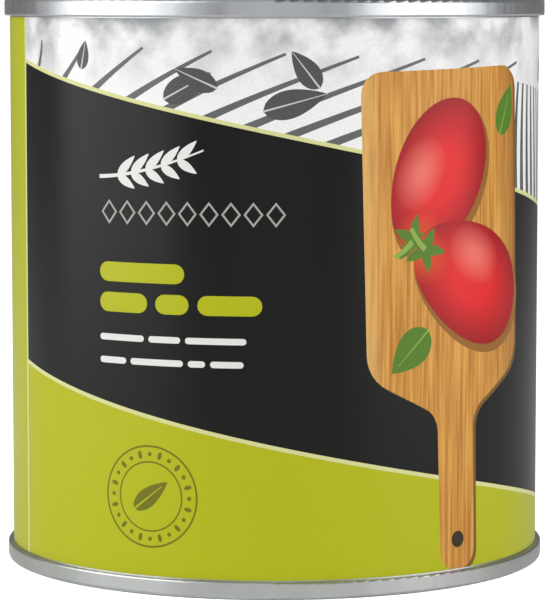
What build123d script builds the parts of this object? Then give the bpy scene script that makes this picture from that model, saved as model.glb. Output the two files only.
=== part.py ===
from build123d import *

import os
from math import degrees

# A shut food tin with a paper label. The steel wall and its contents are one solid core. Each end
# is a pressed steel disc, rolled over the edge of the wall into a rim that stands proud of it,
# round a recessed panel with raised rings. The label goes once round the wall and is glued down
# where it laps over its own start, at the back.
# The origin is the middle of the base, +Z is up, and the tin's front faces -Y.

# Whole tin, in millimetres
height = 105.5  # over both rims
wall_radius = 49.7  # outside of the steel wall
plate = 0.2  # thickness of the steel

# Rims
rim_height = 3.15
rim_overhang = 1.1  # how far a rim stands out from the steel wall
crown_outer_round = 0.7
crown_inner_round = 0.5
rim_foot_round = 0.35

# The groove inside a rim
groove_depth = 4.3  # from the rim's crown to the bottom of the groove
groove_width = 1.9
groove_round = 0.7
groove_lean = 0.35  # how far the rim's inner wall leans in by the bottom of the groove

# The panel inside the groove
panel_rise = 1.1  # above the bottom of the groove
panel_lean = 0.25
panel_round = 0.5
ring_count = 3
ring_inset = 5.6  # from the panel's edge to the middle of the outermost ring
ring_pitch = 8.6
ring_width = 3.8
ring_height = 0.7

# Label
paper = 0.1
paper_gap = 0.2  # bare wall between the label and each rim
lap_width = 7.0  # where the label is two sheets thick
lap_ramp = 1.6  # where the upper sheet comes down from the end of the lower one
lap_middle = 90  # degrees, so at the back

# Radii and levels that follow
rim_radius = wall_radius + rim_overhang
wall_inside = wall_radius - plate
rim_inside = wall_inside - plate
groove_outside = rim_inside - groove_lean
groove_inside = groove_outside - groove_width
panel_radius = groove_inside - panel_lean
rim_foot = height - rim_height
groove_floor = height - groove_depth
panel_level = groove_floor + panel_rise
end_underside = groove_floor - plate


def raised_ring(middle):
    """The outline of one raised ring of the panel: three arcs that run into each other."""
    rise = (middle - ring_width / 4, panel_level + ring_height / 2)
    top = (middle, panel_level + ring_height)
    fall = (middle + ring_width / 4, panel_level + ring_height / 2)
    TangentArc((middle - ring_width / 2, panel_level), rise, tangent=(1, 0))
    ThreePointArc(rise, top, fall)
    TangentArc(fall, (middle + ring_width / 2, panel_level), tangent=(1, 0), tangent_from_first=False)


def panel_outline():
    """The panel from its centre outwards, flat between its rings. Returns where the last flat starts."""
    flat_start = 0
    for ring in reversed(range(ring_count)):
        middle = panel_radius - ring_inset - ring * ring_pitch
        Line((flat_start, panel_level), (middle - ring_width / 2, panel_level))
        raised_ring(middle)
        flat_start = middle + ring_width / 2
    return flat_start


def make_top_end():
    """The pressed end: the panel, the groove round it, and the rim that holds the wall."""
    with BuildPart() as end:
        with BuildSketch(Plane.XZ):
            with BuildLine():
                FilletPolyline(
                    (panel_outline(), panel_level),
                    (panel_radius, panel_level),
                    (groove_inside, groove_floor),
                    (groove_outside, groove_floor),
                    (rim_inside, height),
                    (rim_radius, height),
                    (rim_radius, rim_foot),
                    (wall_inside, rim_foot),
                    radius=(
                        panel_round,
                        groove_round,
                        groove_round,
                        crown_inner_round,
                        crown_outer_round,
                        rim_foot_round,
                    ),
                )
                Polyline(
                    (wall_inside, rim_foot),
                    (wall_inside, end_underside),
                    (0, end_underside),
                    (0, panel_level),
                )
            make_face()
        revolve(axis=Axis.Z)
    return end.part


def make_can_body():
    """Wall and contents in one, with the wall standing up round each end to the rim's foot."""
    body = Pos(Z=height / 2) * Cylinder(wall_radius, rim_foot - rim_height)
    recess_depth = rim_foot - end_underside
    for level in (rim_height + recess_depth / 2, rim_foot - recess_depth / 2):
        body -= Pos(Z=level) * Cylinder(wall_inside, recess_depth)
    return body


def make_label():
    """The paper, once round the wall and lapped at the back, where its edge stands out."""
    one_sheet = wall_radius + paper
    two_sheets = one_sheet + paper
    lap_edge = lap_middle - degrees(lap_width / 2 / wall_radius)
    lap_start = lap_middle + degrees(lap_width / 2 / wall_radius)
    ramp_foot = lap_start + degrees(lap_ramp / wall_radius)
    with BuildPart() as label:
        with BuildSketch(Plane.XY.offset(rim_height + paper_gap)):
            with BuildLine():
                single = CenterArc((0, 0), one_sheet, ramp_foot, 360 + lap_edge - ramp_foot)
                double = CenterArc((0, 0), two_sheets, lap_edge, lap_start - lap_edge)
                Line(single @ 1, double @ 0)
                Line(double @ 1, single @ 0)
            make_face()
            Circle(wall_radius, mode=Mode.SUBTRACT)
        extrude(amount=rim_foot - rim_height - 2 * paper_gap)
    return label.part


top_end = make_top_end()
parts = {
    "can_body": make_can_body(),
    "top_end": top_end,
    "bottom_end": mirror(top_end, about=Plane.XY.offset(height / 2)),
    "label": make_label(),
}

os.makedirs("parts", exist_ok=True)
for name, part in parts.items():
    export_step(part, f"parts/{name}.step")
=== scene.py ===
"""A shut food tin: satin tinplate ends and a printed paper label, in a white studio.

Lengths are in millimetres until a mesh is made, and MM turns them into metres. On the label, s runs
round the tin from the middle of its front, to the right, and z runs up from the base.
"""

from math import atan2, cos, degrees, hypot, pi, radians, sin, tan

import bpy
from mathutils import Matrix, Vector
from mathutils.geometry import delaunay_2d_cdt


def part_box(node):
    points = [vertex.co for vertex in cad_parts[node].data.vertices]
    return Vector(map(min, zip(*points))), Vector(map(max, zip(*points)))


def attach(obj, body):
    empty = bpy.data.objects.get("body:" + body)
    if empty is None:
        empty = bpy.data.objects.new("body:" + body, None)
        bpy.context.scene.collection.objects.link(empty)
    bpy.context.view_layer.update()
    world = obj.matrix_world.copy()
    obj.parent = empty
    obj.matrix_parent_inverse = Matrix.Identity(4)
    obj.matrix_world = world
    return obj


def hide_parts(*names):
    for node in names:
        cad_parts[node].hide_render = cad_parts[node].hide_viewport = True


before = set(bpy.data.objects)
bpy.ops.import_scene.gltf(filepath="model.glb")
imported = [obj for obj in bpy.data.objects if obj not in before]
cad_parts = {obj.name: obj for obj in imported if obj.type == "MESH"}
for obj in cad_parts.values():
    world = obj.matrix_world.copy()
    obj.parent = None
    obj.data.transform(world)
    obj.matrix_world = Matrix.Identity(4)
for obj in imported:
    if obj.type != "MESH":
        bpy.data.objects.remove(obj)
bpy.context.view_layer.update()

MM = 0.001


def cad_size(node):
    """A CAD node's lowest and highest corners, in millimetres."""
    low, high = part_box(node)
    return low / MM, high / MM


# ---- Sizes from the frame -------------------------------------------------------------------------

label_low, label_high = cad_size("label")

wall_radius = cad_size("can_body")[1].x
height = cad_size("top_end")[1].z
label_bottom, label_top = label_low.z, label_high.z
paper = label_high.x - wall_radius
sheet_radius = wall_radius + paper


# ---- Outlines -------------------------------------------------------------------------------------

def arc(centre, radius, start, turn, steps):
    """Points on an arc, from start degrees through turn degrees."""
    angles = [radians(start + turn * n / steps) for n in range(steps + 1)]
    return [(centre[0] + radius * cos(a), centre[1] + radius * sin(a)) for a in angles]


def rounded(corners, radii, steps=6, closed=False):
    """A polyline with each inner corner turned into an arc of the given radius."""
    count = len(corners)
    points = [] if closed else [corners[0]]
    for n in range(count) if closed else range(1, count - 1):
        corner = Vector(corners[n])
        to_last = (Vector(corners[n - 1]) - corner).normalized()
        to_next = (Vector(corners[(n + 1) % count]) - corner).normalized()
        radius = radii[n if closed else n - 1]
        if not radius:
            points.append(tuple(corner))
            continue
        half = to_last.angle(to_next) / 2
        centre = corner + (to_last + to_next).normalized() * radius / sin(half)
        first = corner + to_last * radius / tan(half) - centre
        last = corner + to_next * radius / tan(half) - centre
        start = degrees(atan2(first.y, first.x))
        turn = (degrees(atan2(last.y, last.x)) - start + 180) % 360 - 180
        points += arc(centre, radius, start, turn, steps)
    return points if closed else points + [corners[-1]]


def place(points, centre, tilt):
    """Points turned by tilt degrees and moved to centre."""
    c, s = cos(radians(tilt)), sin(radians(tilt))
    return [(centre[0] + x * c - y * s, centre[1] + x * s + y * c) for x, y in points]


def ellipse(centre, half_length, half_width, tilt=0, steps=48):
    turns = [2 * pi * n / steps for n in range(steps)]
    return place([(half_length * cos(a), half_width * sin(a)) for a in turns], centre, tilt)


def plum(centre, half_length, half_width, tilt):
    """A plum tomato's outline: an oval that is fuller towards its far end."""
    turns = [2 * pi * n / 64 for n in range(64)]
    points = [(half_length * cos(a), half_width * sin(a) * (1 + 0.13 * cos(a))) for a in turns]
    return place(points, centre, tilt)


def leaf(base, tip, width, steps=16):
    """A pointed leaf, widest a third of the way along."""
    length = hypot(tip[0] - base[0], tip[1] - base[1])
    shares = [n / steps for n in range(steps + 1)]
    half = [width / 2 * sin(pi * share ** 0.72) ** 0.85 for share in shares]
    right = [(share * length, -h) for share, h in zip(shares, half)]
    left = [(share * length, h) for share, h in zip(shares, half)][-2:0:-1]
    tilt = degrees(atan2(tip[1] - base[1], tip[0] - base[0]))
    return place(right + left, base, tilt)


def ribbon(points, start_width, end_width=None):
    """A stroke along points, its width going evenly from one end's to the other's."""
    end_width = start_width if end_width is None else end_width
    left, right = [], []
    for n, point in enumerate(points):
        before, after = points[max(n - 1, 0)], points[min(n + 1, len(points) - 1)]
        along = (Vector(after) - Vector(before)).normalized()
        across = Vector((-along.y, along.x))
        half = (start_width + (end_width - start_width) * n / (len(points) - 1)) / 2
        left.append(tuple(Vector(point) + across * half))
        right.append(tuple(Vector(point) - across * half))
    return left + right[::-1]


def bar(left, bottom, length, thickness):
    """A bar with round ends."""
    radius = thickness / 2
    middle = bottom + radius
    return arc((left + length - radius, middle), radius, -90, 180, 8) + arc(
        (left + radius, middle), radius, 90, 180, 8
    )


def curve(start, bend, end, steps=14):
    """Points on a quadratic curve."""
    a, b, c = Vector(start), Vector(bend), Vector(end)
    shares = [n / steps for n in range(steps + 1)]
    return [tuple(a * (1 - t) ** 2 + b * 2 * t * (1 - t) + c * t ** 2) for t in shares]


# ---- Label: print ---------------------------------------------------------------------------------

HALF_TURN = pi * sheet_radius
SIDE_EDGE, BACK_EDGE = -57.4, 99.1  # the lime side panel runs round the back between these
LAP = 3.5  # half the width where the paper is two sheets thick
LAP_RAMP = 1.6
SLOPE = -0.211  # of the fields' top edges
EDGE_LINE = 0.75  # height of the pale line on those edges
SIDE_LINE = 0.35  # half the width of the pale line beside the side panel
WORDS_LEFT = -33.5

prints = []  # (outline, ink, local frame), painted in this order


def paint(outline, ink, centre=(0, 0), half=(1, 1), tilt=0):
    prints.append((outline, ink, (centre, half, tilt)))


def band(top_at_front, ink):
    """A field under a slanting top edge, with a pale line along that edge."""
    for extra, colour in ((EDGE_LINE, "edge_line"), (0, ink)):
        level = top_at_front + extra
        paint(
            [
                (SIDE_EDGE, label_bottom - 1),
                (BACK_EDGE, label_bottom - 1),
                (BACK_EDGE, level + SLOPE * BACK_EDGE),
                (SIDE_EDGE, level + SLOPE * SIDE_EDGE),
            ],
            colour,
        )


# Soft furrows and crop rows in greys behind everything
for n in range(9):
    start, end = (-62 + n * 6.5, 82 - n * 1.4), (-50 + n * 13, 98 - n * 0.5)
    paint(ribbon(curve(start, (start[0] + 12, start[1] + 9), end), 2.2, 0.5), "furrow")
for n in range(17):
    foot = (48 + n * 3.1, 66 - n * 0.4)
    top = (50 + n * 2.4, 91 - 0.3 * n)
    paint(ribbon(curve(foot, (foot[0] - 1.2, 80), top), 1.9, 0.8), "crop_row")
for s, z, size, turn in (
    (-20, 88, 11, 35),
    (-10, 90, 9, 150),
    (-2, 86, 12, 20),
    (8, 90, 10, 120),
    (70, 90, 8, 60),
    (-38, 93, 7, 80),
):
    tip = (s + size * cos(radians(turn)), z + size * sin(radians(turn)) * 0.75)
    paint(leaf((s, z), tip, size * 0.42), "grey_leaf")
    paint(ribbon([(s, z), tip], 0.35, 0.1), "grey_vein")

band(81.8, "charcoal")
band(26.6, "lime")
for left, right in ((-HALF_TURN - 1, SIDE_EDGE), (BACK_EDGE, HALF_TURN + 1)):
    paint([(left, 0), (right, 0), (right, 110), (left, 110)], "lime")
for edge in (SIDE_EDGE, BACK_EDGE):
    left, right = edge - SIDE_LINE, edge + SIDE_LINE
    paint([(left, 0), (right, 0), (right, 110), (left, 110)], "edge_line")

# Sprig, row of diamonds and bars in the places of the wording
stem = curve((-33.5, 74.2), (-24, 74.5), (-12.5, 79.2))
paint(ribbon(stem, 0.7, 0.3), "white")
for share in (0.18, 0.34, 0.5, 0.66, 0.82):
    at = stem[round(share * 14)]
    for side in (1, -1):
        tip = (at[0] + 3.6, at[1] + side * 2.9 + 0.6)
        paint(leaf(at, tip, 1.6), "white")
for n in range(9):
    middle = (-31.3 + n * 3.95, 68)
    paint(ellipse(middle, 1.75, 2.2, steps=4), "silver")
    paint(ellipse(middle, 1.3, 1.65, steps=4), "charcoal")
for bottom, words in ((55.6, (17.4,)), (50.2, (10.2, 6.4, 11.6))):
    left = WORDS_LEFT
    for length in words:
        paint(bar(left, bottom, length, 3.5), "lime")
        left += length + 1.6
for bottom, words in ((45.1, (9.5, 6.2, 11.1)), (41.0, (5.8, 10.4, 3.2, 6.0))):
    left = WORDS_LEFT
    for length in words:
        paint(bar(left, bottom, length, 1.15), "white")
        left += length + 0.9

# Ring seal
seal = (-22.9, 17.6)
for radius, ink in ((9.2, "olive"), (8.85, "lime"), (6.35, "olive"), (6.05, "lime")):
    paint(ellipse(seal, radius, radius, steps=72), ink)
for n in range(24):
    at = place([(7.6, 0)], seal, n * 15)[0]
    paint(ellipse(at, 0.75 if n % 2 else 0.4, 0.4, n * 15, 12), "olive")
paint(leaf((-26.2, 15.2), (-19.4, 20.4), 3.4), "olive")
paint(ribbon([(-27.4, 14.2), (-20.6, 19.5)], 0.4, 0.15), "lime")

# Chopping board with two plum tomatoes
board = rounded(
    [
        (-18.6, -2),
        (-18.6, 52),
        (18.6, 52),
        (18.6, -2),
        (4.4, -9.5),
        (4.2, -38),
        (-4.2, -38),
        (-4.4, -9.5),
    ],
    [7, 4, 4, 7, 5, 3.5, 3.5, 5],
    closed=True,
)
BOARD, BOARD_TILT = (35.2, 41.2), 1.5
paint(place([(x + 0.7, z - 0.5) for x, z in board], BOARD, BOARD_TILT), "board_edge")
blade = place([(0, 7)], BOARD, BOARD_TILT)[0]
paint(place(board, BOARD, BOARD_TILT), "wood", blade, (18.6, 45), BOARD_TILT)
hole = place([(0, -32.5)], BOARD, BOARD_TILT)[0]
paint(ellipse(hole, 1.5, 1.5), "hole")
paint(leaf((29, 47), (21.4, 39.6), 6.5), "leaf")
paint(ribbon([(29, 47), (22.6, 40.8)], 0.35, 0.1), "leaf_vein")
paint(leaf((47.5, 81), (51.5, 90), 5.5), "leaf")
paint(ribbon([(47.5, 81), (50.8, 88.6)], 0.35, 0.1), "leaf_vein")
for centre, half, tilt in (((31.6, 74.2), (14.6, 9.8), 62), ((39.4, 55.4), (14.8, 10.2), -28)):
    shadow = plum(centre, half[0] + 0.5, half[1] + 0.5, tilt)
    paint([(x + 0.5, z - 1.0) for x, z in shadow], "wood_shade")
    paint(plum(centre, half[0], half[1], tilt), "tomato", centre, half, tilt)
    crown = place([(-half[0] * 0.86, 0)], centre, tilt)[0]
    for turn in range(5):
        sepal = (4.6 * cos(radians(72 * turn)), 4.2 * sin(radians(72 * turn)))
        paint(leaf(crown, place([sepal], crown, tilt + 20)[0], 1.9), "leaf")
    bend, end = place([(-2.5, 0.6), (-4.4, 2)], crown, tilt)
    paint(ribbon(curve(crown, bend, end), 1.1, 0.8), "leaf_vein")

# Back of the label: a plain panel with rules
panel = rounded([(108, 22), (148, 22), (148, 84), (108, 84)], [3] * 4, closed=True)
paint(panel, "white")
for n in range(11):
    paint(bar(112, 27 + n * 4.6, 32 if n % 3 else 24, 0.5), "olive")
paint(bar(112, 77.6, 26, 2.2), "olive")


# ---- Label: mesh ----------------------------------------------------------------------------------

def inside(point, outline):
    x, y = point
    within = False
    for (x0, y0), (x1, y1) in zip(outline, outline[1:] + outline[:1]):
        if (y0 > y) != (y1 > y) and x < (x1 - x0) * (y - y0) / (y1 - y0) + x0:
            within = not within
    return within


def sheet_outside(s):
    """The paper's outer radius, one sheet thicker at the lap."""
    if s >= HALF_TURN - LAP - 1e-4 or s <= -HALF_TURN + LAP:
        return sheet_radius + paper
    ramp = (-HALF_TURN + LAP + LAP_RAMP - s) / LAP_RAMP
    return sheet_radius + paper * min(max(ramp, 0), 1)


def wrap(s, z, radius):
    turn = s / sheet_radius
    return Vector((radius * sin(turn), -radius * cos(turn), z)) * MM


COLUMNS = 240
columns = [-HALF_TURN + 2 * HALF_TURN * n / COLUMNS for n in range(COLUMNS + 1)]
columns += [-HALF_TURN + LAP, -HALF_TURN + LAP + LAP_RAMP, HALF_TURN - LAP, HALF_TURN - LAP - 0.02]
columns.sort()

points, edges = [], []
for s in columns:
    edges.append((len(points), len(points) + 1))
    points += [Vector((s, label_bottom)), Vector((s, label_top))]
for n in range(len(columns) - 1):
    edges += [(2 * n, 2 * n + 2), (2 * n + 1, 2 * n + 3)]
clipped = []
for outline, _, _ in prints:
    held = [
        (min(max(x, -HALF_TURN), HALF_TURN), min(max(y, label_bottom), label_top)) for x, y in outline
    ]
    clipped.append(held)
    first = len(points)
    points += [Vector(p) for p in held]
    edges += [(first + n, first + (n + 1) % len(held)) for n in range(len(held))]
flat, _, triangles = delaunay_2d_cdt(points, edges, [], 0, 1e-4, False)[:3]

boxes = []
for outline in clipped:
    across, up = zip(*outline)
    boxes.append((min(across), max(across), min(up), max(up)))
whole = ((0, 0), (1, 1), 0)
inks = ["pale"] + sorted({ink for _, ink, _ in prints} - {"pale"})
faces, face_ink, face_local = [], [], []
for triangle in triangles:
    a, b, c = (flat[i] for i in triangle)
    area = (b - a).cross(c - a)
    if abs(area) < 1e-7:
        continue
    x, y = (a + b + c) / 3
    top = None
    for n in range(len(prints) - 1, -1, -1):
        low_x, high_x, low_y, high_y = boxes[n]
        if low_x <= x <= high_x and low_y <= y <= high_y and inside((x, y), clipped[n]):
            top = n
            break
    faces.append(tuple(triangle) if area > 0 else tuple(reversed(triangle)))
    face_ink.append("pale" if top is None else prints[top][1])
    face_local.append(whole if top is None else prints[top][2])

outer_count, outer_faces = len(flat), len(faces)
vertices = [wrap(p.x, p.y, sheet_outside(p.x)) for p in flat]
flats = [tuple(p) for p in flat]
rims = []
for level, top_side in ((label_bottom, False), (label_top, True)):
    row = [i for i in range(outer_count) if abs(flat[i].y - level) < 1e-3]
    row.sort(key=lambda i: flat[i].x)
    inner = list(range(len(vertices), len(vertices) + len(row)))
    vertices += [wrap(flat[i].x, level, wall_radius) for i in row]
    flats += [(flat[i].x, level) for i in row]
    for n in range(len(row) - 1):
        quad = (row[n], row[n + 1], inner[n + 1], inner[n])
        faces.append(quad if top_side else quad[::-1])
    rims.append(inner)

# The sheet's inner face
lower, upper = rims
back_points = [Vector(flats[i]) for i in lower + upper]
back_ids = lower + upper
row_edges = [(n, n + 1) for n in range(len(lower) - 1)]
row_edges += [(len(lower) + n, len(lower) + n + 1) for n in range(len(upper) - 1)]
for triangle in delaunay_2d_cdt(back_points, row_edges, [], 0, 1e-5, False)[2]:
    a, b, c = (back_points[i] for i in triangle)
    area = (b - a).cross(c - a)
    if abs(area) > 1e-7:
        ids = [back_ids[i] for i in triangle]
        faces.append(tuple(ids[::-1]) if area > 0 else tuple(ids))
face_ink += ["paper"] * (len(faces) - outer_faces)
face_local += [whole] * (len(faces) - outer_faces)
inks.append("paper")

mesh = bpy.data.meshes.new("label_print")
mesh.from_pydata(vertices, [], faces)
label = bpy.data.objects.new("label_print", mesh)
bpy.context.collection.objects.link(label)



def bake_place(s, z, front, outside):
    """Where a point is on the baked picture: the front in its lower row, the back in its upper row."""
    from_front = s if front or s > 0 else s + 2 * HALF_TURN
    start = -HALF_TURN / 2 if front else HALF_TURN / 2
    across = (from_front - start) / HALF_TURN
    up = (z - label_bottom) / (label_top - label_bottom)
    if outside:
        return (0.01 + 0.98 * across, 0.02 + 0.46 * up + (0 if front else 0.48))
    return (0.01 + 0.98 * across, 0.975 + 0.015 * up)


bake, print_map, shape_map = (mesh.uv_layers.new(name=n).data for n in ("OFBake", "print", "shape"))
for polygon in mesh.polygons:
    polygon.material_index = inks.index(face_ink[polygon.index])
    polygon.use_smooth = polygon.index < outer_faces
    centre, half, tilt = face_local[polygon.index]
    middle = sum(flats[i][0] for i in polygon.vertices) / len(polygon.vertices)
    front = abs(middle) < HALF_TURN / 2
    for loop in polygon.loop_indices:
        s, z = flats[mesh.loops[loop].vertex_index]
        print_map[loop].uv = (s, z)
        x, y = place([(s - centre[0], z - centre[1])], (0, 0), -tilt)[0]
        shape_map[loop].uv = (x / half[0], y / half[1])
        bake[loop].uv = bake_place(s, z, front, polygon.index < outer_faces)
mesh.uv_layers.active = mesh.uv_layers["print"]
radial = [Vector((v.co.x, v.co.y, 0)).normalized() for v in mesh.vertices]
mesh.normals_split_custom_set([
    radial[mesh.loops[loop].vertex_index] if polygon.use_smooth else polygon.normal
    for polygon in mesh.polygons for loop in polygon.loop_indices
])


# ---- Materials ------------------------------------------------------------------------------------

def srgb(red, green, blue):
    shares = (red / 255, green / 255, blue / 255)
    return tuple(v / 12.92 if v <= 0.04045 else ((v + 0.055) / 1.055) ** 2.4 for v in shares) + (1,)


class Nodes:
    """A new material with short calls for the nodes this scene uses."""

    def __init__(self, name):
        self.material = bpy.data.materials.new(name)
        self.material.use_nodes = True
        self.tree = self.material.node_tree
        self.shader = self.tree.nodes["Principled BSDF"]

    def set(self, socket, value):
        if isinstance(value, bpy.types.NodeSocket):
            self.tree.links.new(value, socket)
        else:
            socket.default_value = value

    def uv(self, name, scale=(1, 1, 1)):
        source = self.tree.nodes.new("ShaderNodeUVMap")
        source.uv_map = name
        return self.stretch(source.outputs[0], scale)

    def solid(self, scale=(1, 1, 1)):
        source = self.tree.nodes.new("ShaderNodeTexCoord")
        return self.stretch(source.outputs["Object"], scale)

    def stretch(self, vector, scale):
        node = self.tree.nodes.new("ShaderNodeMapping")
        self.set(node.inputs["Vector"], vector)
        node.inputs["Scale"].default_value = scale
        return node.outputs[0]

    def noise(self, vector, scale, detail=3):
        node = self.tree.nodes.new("ShaderNodeTexNoise")
        self.set(node.inputs["Vector"], vector)
        node.inputs["Scale"].default_value = scale
        node.inputs["Detail"].default_value = detail
        return node.outputs["Fac"]

    def remap(self, value, low, high, to_low, to_high):
        node = self.tree.nodes.new("ShaderNodeMapRange")
        for socket, v in zip(node.inputs, (value, low, high, to_low, to_high)):
            self.set(socket, v)
        return node.outputs[0]

    def mix(self, share, first, second):
        node = self.tree.nodes.new("ShaderNodeMix")
        node.data_type = "RGBA"
        self.set(node.inputs[0], share)
        self.set(node.inputs[6], first)
        self.set(node.inputs[7], second)
        return node.outputs[2]

    def distance(self, vector, to):
        node = self.tree.nodes.new("ShaderNodeVectorMath")
        node.operation = "DISTANCE"
        self.set(node.inputs[0], vector)
        node.inputs[1].default_value = to
        return node.outputs["Value"]

    def split(self, vector):
        node = self.tree.nodes.new("ShaderNodeSeparateXYZ")
        self.set(node.inputs[0], vector)
        return node.outputs


INKS = {
    "lime": srgb(178, 182, 22),
    "charcoal": srgb(16, 17, 15),
    "edge_line": srgb(214, 215, 150),
    "furrow": srgb(104, 106, 107),
    "crop_row": srgb(92, 94, 95),
    "grey_leaf": srgb(84, 87, 86),
    "grey_vein": srgb(200, 201, 199),
    "white": srgb(226, 227, 224),
    "silver": srgb(165, 166, 160),
    "olive": srgb(112, 114, 22),
    "board_edge": srgb(120, 84, 34),
    "hole": srgb(52, 44, 26),
    "leaf": srgb(84, 124, 36),
    "leaf_vein": srgb(138, 168, 74),
    "wood_shade": srgb(146, 98, 38),
    "paper": srgb(214, 213, 208),
}


def ink_material(name):
    """Printed, satin-varnished paper in one ink."""
    n = Nodes(name)
    flat = n.uv("print")
    grain = n.noise(flat, 2.6, 2)
    if name == "pale":
        smudge = n.noise(flat, 0.11, 4)
        level = n.remap(n.split(flat)[1], 88, 103, 0, 1)
        cloud = n.tree.nodes.new("ShaderNodeMath")
        cloud.operation = "MULTIPLY"
        n.set(cloud.inputs[0], level)
        n.set(cloud.inputs[1], n.remap(smudge, 0.42, 0.62, 0, 1))
        colour = n.mix(cloud.outputs[0], srgb(243, 243, 242), srgb(146, 149, 152))
        weave = 0.11
    elif name == "wood":
        shape = n.uv("shape")
        streak = n.noise(n.uv("print", (1, 0.04, 1)), 1.4, 5)
        colour = n.mix(n.remap(streak, 0.35, 0.66, 0, 1), srgb(178, 116, 44), srgb(220, 164, 80))
        across = n.split(shape)[0]
        colour = n.mix(n.remap(across, -1, -0.8, 0.6, 0), colour, srgb(232, 190, 120))
        colour = n.mix(n.remap(across, 0.66, 1, 0, 0.6), colour, srgb(132, 82, 30))
        weave = 0.03
    elif name == "tomato":
        shape = n.uv("shape")
        round_off = n.remap(n.distance(shape, (0, 0, 0)), 0.35, 1.05, 0, 1)
        colour = n.mix(round_off, srgb(222, 36, 38), srgb(150, 14, 22))
        lit = n.remap(n.distance(shape, (-0.1, 0.42, 0)), 0.5, 0.1, 0, 0.55)
        colour = n.mix(lit, colour, srgb(240, 140, 124))
        warm = n.remap(n.distance(shape, (-0.95, -0.1, 0)), 0.55, 0.1, 0, 0.6)
        colour = n.mix(warm, colour, srgb(232, 104, 34))
        weave = 0.03
    else:
        colour = INKS[name]
        weave = 0.2 if name in ("furrow", "crop_row", "grey_leaf") else 0.025
    pattern = n.mix(n.remap(grain, 0.3, 0.7, 0, 1), (1 - weave,) * 3 + (1,), (1, 1, 1, 1))
    product = n.tree.nodes.new("ShaderNodeMix")
    product.data_type, product.blend_type = "RGBA", "MULTIPLY"
    product.inputs[0].default_value = 1
    n.set(product.inputs[6], colour)
    n.set(product.inputs[7], pattern)
    n.set(n.shader.inputs["Base Color"], product.outputs[2])
    n.shader.inputs["Roughness"].default_value = 0.85 if name == "paper" else 0.3
    n.shader.inputs["Specular IOR Level"].default_value = 0.22
    return n.material


for ink in inks:
    mesh.materials.append(ink_material(ink))
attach(label, "root")
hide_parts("label")


def tinplate(name):
    """Satin tinplate with rolling marks and slight mottling."""
    n = Nodes(name)
    rolled = n.noise(n.solid((60, 1400, 60)), 1, 3)
    mottle = n.noise(n.solid((90, 90, 90)), 1, 3)
    tone = n.mix(n.remap(mottle, 0.3, 0.7, 0, 1), srgb(184, 187, 190), srgb(198, 200, 203))
    n.set(n.shader.inputs["Base Color"], tone)
    n.set(n.shader.inputs["Roughness"], n.remap(rolled, 0.3, 0.7, 0.28, 0.38))
    n.shader.inputs["Metallic"].default_value = 1
    bump = n.tree.nodes.new("ShaderNodeBump")
    bump.inputs["Strength"].default_value = 0.12
    bump.inputs["Distance"].default_value = 0.00004
    n.set(bump.inputs["Height"], rolled)
    n.set(n.shader.inputs["Normal"], bump.outputs[0])
    return n.material


steel = tinplate("tinplate")
for name in ("can_body", "top_end", "bottom_end"):
    node = bpy.data.objects[name]
    node.data.materials.clear()
    node.data.materials.append(steel)


# ---- Studio ---------------------------------------------------------------------------------------

def softbox(name, azimuth, distance, width, tall, rise, power):
    """An upright soft light, azimuth degrees to the right of the front, facing the tin."""
    data = bpy.data.lights.new(name, "AREA")
    data.shape, data.size, data.size_y, data.energy = "RECTANGLE", width, tall, power
    lamp = bpy.data.objects.new(name, data)
    turn = radians(azimuth)
    lamp.location = (distance * sin(turn), -distance * cos(turn), rise)
    aim = Vector((0, 0, height / 2 * MM)) - lamp.location
    lamp.rotation_euler = aim.to_track_quat("-Z", "Y").to_euler()
    bpy.context.collection.objects.link(lamp)


softbox("left", -70, 0.7, 0.82, 1.0, 0.25, 6.2)
softbox("right", 65, 0.7, 0.78, 1.0, 0.25, 5.3)
softbox("front", 0, 0.9, 0.6, 0.6, 0.35, 0.9)
softbox("top", 0, 0.35, 0.5, 0.5, 0.95, 0.6)

floor_mesh = bpy.data.meshes.new("floor")
floor_mesh.from_pydata([(-4, -4, 0), (4, -4, 0), (4, 4, 0), (-4, 4, 0)], [], [(0, 1, 2, 3)])
floor = bpy.data.objects.new("floor", floor_mesh)
bpy.context.collection.objects.link(floor)
n = Nodes("floor")
n.shader.inputs["Base Color"].default_value = (0.9, 0.9, 0.9, 1)
n.shader.inputs["Roughness"].default_value = 0.8
n.shader.inputs["Emission Color"].default_value = (1, 1, 1, 1)
seen = n.tree.nodes.new("ShaderNodeLightPath")
n.set(n.shader.inputs["Emission Strength"], n.remap(seen.outputs["Is Camera Ray"], 0, 1, 0, 0.85))
floor_mesh.materials.append(n.material)

world = bpy.data.worlds.new("studio")
bpy.context.scene.world = world
world.use_nodes = True
tree = world.node_tree
seen = tree.nodes.new("ShaderNodeLightPath")
strength = tree.nodes.new("ShaderNodeMapRange")
tree.links.new(seen.outputs["Is Camera Ray"], strength.inputs[0])
strength.inputs[3].default_value, strength.inputs[4].default_value = 0.2, 1
tree.links.new(strength.outputs[0], tree.nodes["Background"].inputs["Strength"])
tree.nodes["Background"].inputs["Color"].default_value = (1, 1, 1, 1)

camera = bpy.data.objects.new("camera", bpy.data.cameras.new("camera"))
bpy.context.collection.objects.link(camera)
camera.location = (0.00028, -0.60405, 0.10712)
camera.rotation_euler = (radians(90 - 5.563), 0, 0)
camera.data.lens = 191.2
bpy.context.scene.camera = camera
bpy.context.scene.view_settings.view_transform = "Standard"
